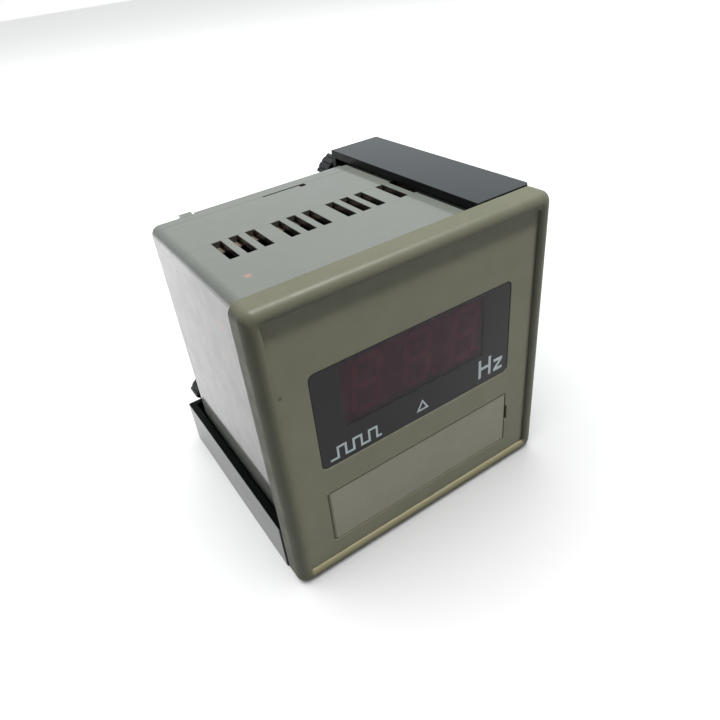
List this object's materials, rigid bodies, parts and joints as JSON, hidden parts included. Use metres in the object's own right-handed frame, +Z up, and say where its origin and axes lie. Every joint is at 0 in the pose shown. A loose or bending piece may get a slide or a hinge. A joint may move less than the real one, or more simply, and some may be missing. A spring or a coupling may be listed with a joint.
{
  "type": "panel-mount frequency counter",
  "caption": "Square panel-mount frequency counter with a dark display window, a hinged access door, a vented case and screw clamps at opposite corners.",
  "frame": {"origin": "middle of the base of the bounding box, under the bezel and the lower clamp", "axes": "+Z up, the display faces -Y, +X to the right seen from the front"},
  "size_m": [0.096, 0.0914, 0.096],
  "materials": {
    "bezel_plastic": "moulded, light grain, satin",
    "panel_plastic": "fine matt paint",
    "filter_plastic": "smoked red filter, glossy",
    "door_plastic": "fine matt",
    "case_plastic": "moulded, semi-gloss, slightly yellowed",
    "clamp_plastic": "moulded, glossy",
    "knob_plastic": "moulded, matt",
    "zinc_steel": "zinc plated",
    "brass": "turned or stamped brass",
    "board_laminate": "green solder mask",
    "trimmer_plastic": "blue moulded",
    "rotor_metal": "brass",
    "black_plastic": "moulded epoxy",
    "core_steel": "stacked laminations",
    "pressboard": "brown insulating board",
    "winding_tape": "yellow film tape",
    "capacitor_sleeve": "shrunk sleeve",
    "crystal_can": "drawn can",
    "heatsink_aluminium": "black anodised",
    "fuse_glass": "clear tube",
    "led_plastic": "dark red face",
    "terminal_plastic": "moulded"
  },
  "bodies": {
    "case": {"bezel": "bezel_plastic", "board_connector": "black_plastic", "bridge_rectifier": "black_plastic", "counter_chip": "black_plastic", "display_board": "board_laminate", "display_filter": "filter_plastic", "display_screws": "zinc_steel", "driver_chip": "black_plastic", "filter_capacitor": "capacitor_sleeve", "front_panel": "panel_plastic", "front_shell": "case_plastic", "fuse": "fuse_glass", "fuse_clips": "brass", "heatsink": "heatsink_aluminium", "insulation_sheet": "pressboard", "led_digit_1": "led_plastic", "led_digit_2": "led_plastic", "led_digit_3": "led_plastic", "left_trimmer": "trimmer_plastic", "lower_insert": "brass", "main_board": "board_laminate", "quartz_crystal": "crystal_can", "rear_cover": "case_plastic", "rear_shell": "case_plastic", "right_trimmer": "trimmer_plastic", "smoothing_capacitor": "capacitor_sleeve", "terminal_block": "terminal_plastic", "terminal_board": "board_laminate", "terminal_clamps": "brass", "terminal_screws": "zinc_steel", "transformer_bobbin": "winding_tape", "transformer_core": "core_steel", "upper_insert": "brass", "voltage_regulator": "black_plastic"},
    "access_door": {"access_door": "door_plastic"},
    "upper_clamp": {"upper_clamp": "clamp_plastic"},
    "lower_clamp": {"lower_clamp": "clamp_plastic"},
    "upper_screw": {"upper_wing_knob": "knob_plastic", "upper_clamp_stud": "zinc_steel"},
    "lower_screw": {"lower_wing_knob": "knob_plastic", "lower_clamp_stud": "zinc_steel"},
    "left_rotor": {"left_trimmer_rotor": "rotor_metal"},
    "right_rotor": {"right_trimmer_rotor": "rotor_metal"}
  },
  "joints": [
    {"name": "door_hinge", "type": "hinge", "parent": "case", "child": "access_door", "pos_m": [-0.0332, -0.04355, 0.0206], "axis": [0, 0, -1], "range_deg": [0, 95]},
    {"name": "upper_clamp_slide", "type": "slide", "parent": "case", "child": "upper_clamp", "axis": [0, 1, 0], "range_m": [0, 0.008]},
    {"name": "upper_screw_turn", "type": "hinge", "parent": "upper_clamp", "child": "upper_screw", "pos_m": [0.0345, 0.03925, 0.0825], "axis": [0, 1, 0], "range_deg": [0, 3600]},
    {"name": "lower_clamp_slide", "type": "slide", "parent": "case", "child": "lower_clamp", "axis": [0, 1, 0], "range_m": [0, 0.008]},
    {"name": "lower_screw_turn", "type": "hinge", "parent": "lower_clamp", "child": "lower_screw", "pos_m": [-0.0345, 0.03925, 0.0135], "axis": [0, 1, 0], "range_deg": [0, 3600]},
    {"name": "left_trimmer_turn", "type": "hinge", "parent": "case", "child": "left_rotor", "pos_m": [-0.012, -0.03675, 0.0206], "axis": [0, 1, 0], "range_deg": [-135, 135]},
    {"name": "right_trimmer_turn", "type": "hinge", "parent": "case", "child": "right_rotor", "pos_m": [0.012, -0.03675, 0.0206], "axis": [0, 1, 0], "range_deg": [-135, 135]}
  ],
  "couplings": [
    {"joint": "upper_screw_turn", "follows": "upper_clamp_slide", "rad_per_m": 7854},
    {"joint": "lower_screw_turn", "follows": "lower_clamp_slide", "rad_per_m": 7854}
  ]
}
